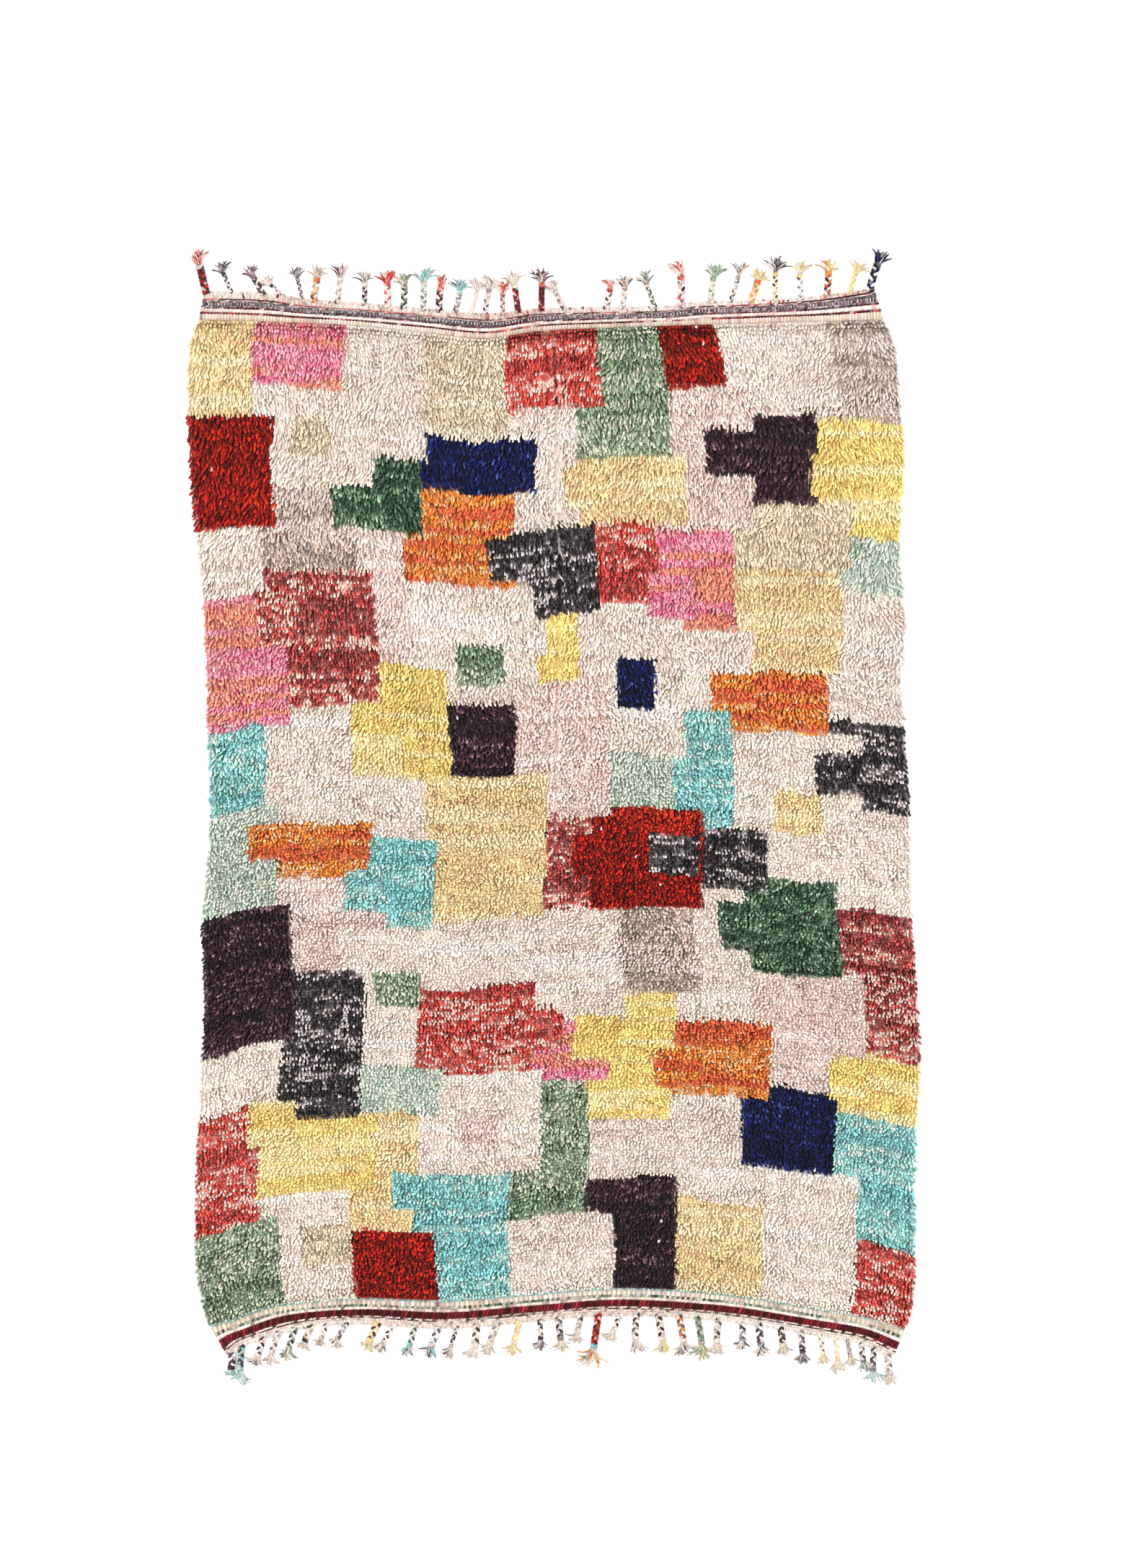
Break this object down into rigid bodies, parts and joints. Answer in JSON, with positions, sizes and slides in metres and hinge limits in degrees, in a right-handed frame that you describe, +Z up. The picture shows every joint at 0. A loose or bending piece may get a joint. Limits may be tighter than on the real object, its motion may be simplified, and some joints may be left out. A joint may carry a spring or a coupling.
{
  "type": "moroccan berber rug",
  "caption": "Flat hand-knotted wool pile rug in many-coloured blocks, with flat-woven end bands and a plaited, knotted fringe at both ends.",
  "frame": {"origin": "middle of the rug's outline, fringe included, on the floor under it", "axes": "+Y along the rug towards the end with the blue and white twined rows, +Z up out of the pile, +X across the rug"},
  "size_m": [1.534, 2.3618, 0.0209],
  "materials": {
    "wool_pile": "matt hand-spun wool pile",
    "twined_wool": "matt twined wool",
    "ribbed_wool": "matt flat-woven wool",
    "plaited_wool": "matt plaited wool"
  },
  "bodies": {
    "root": {"pile_field": "wool_pile", "end_band_top": "twined_wool", "end_band_bottom": "ribbed_wool", "fringe_top": "plaited_wool", "fringe_bottom": "plaited_wool"}
  },
  "joints": []
}
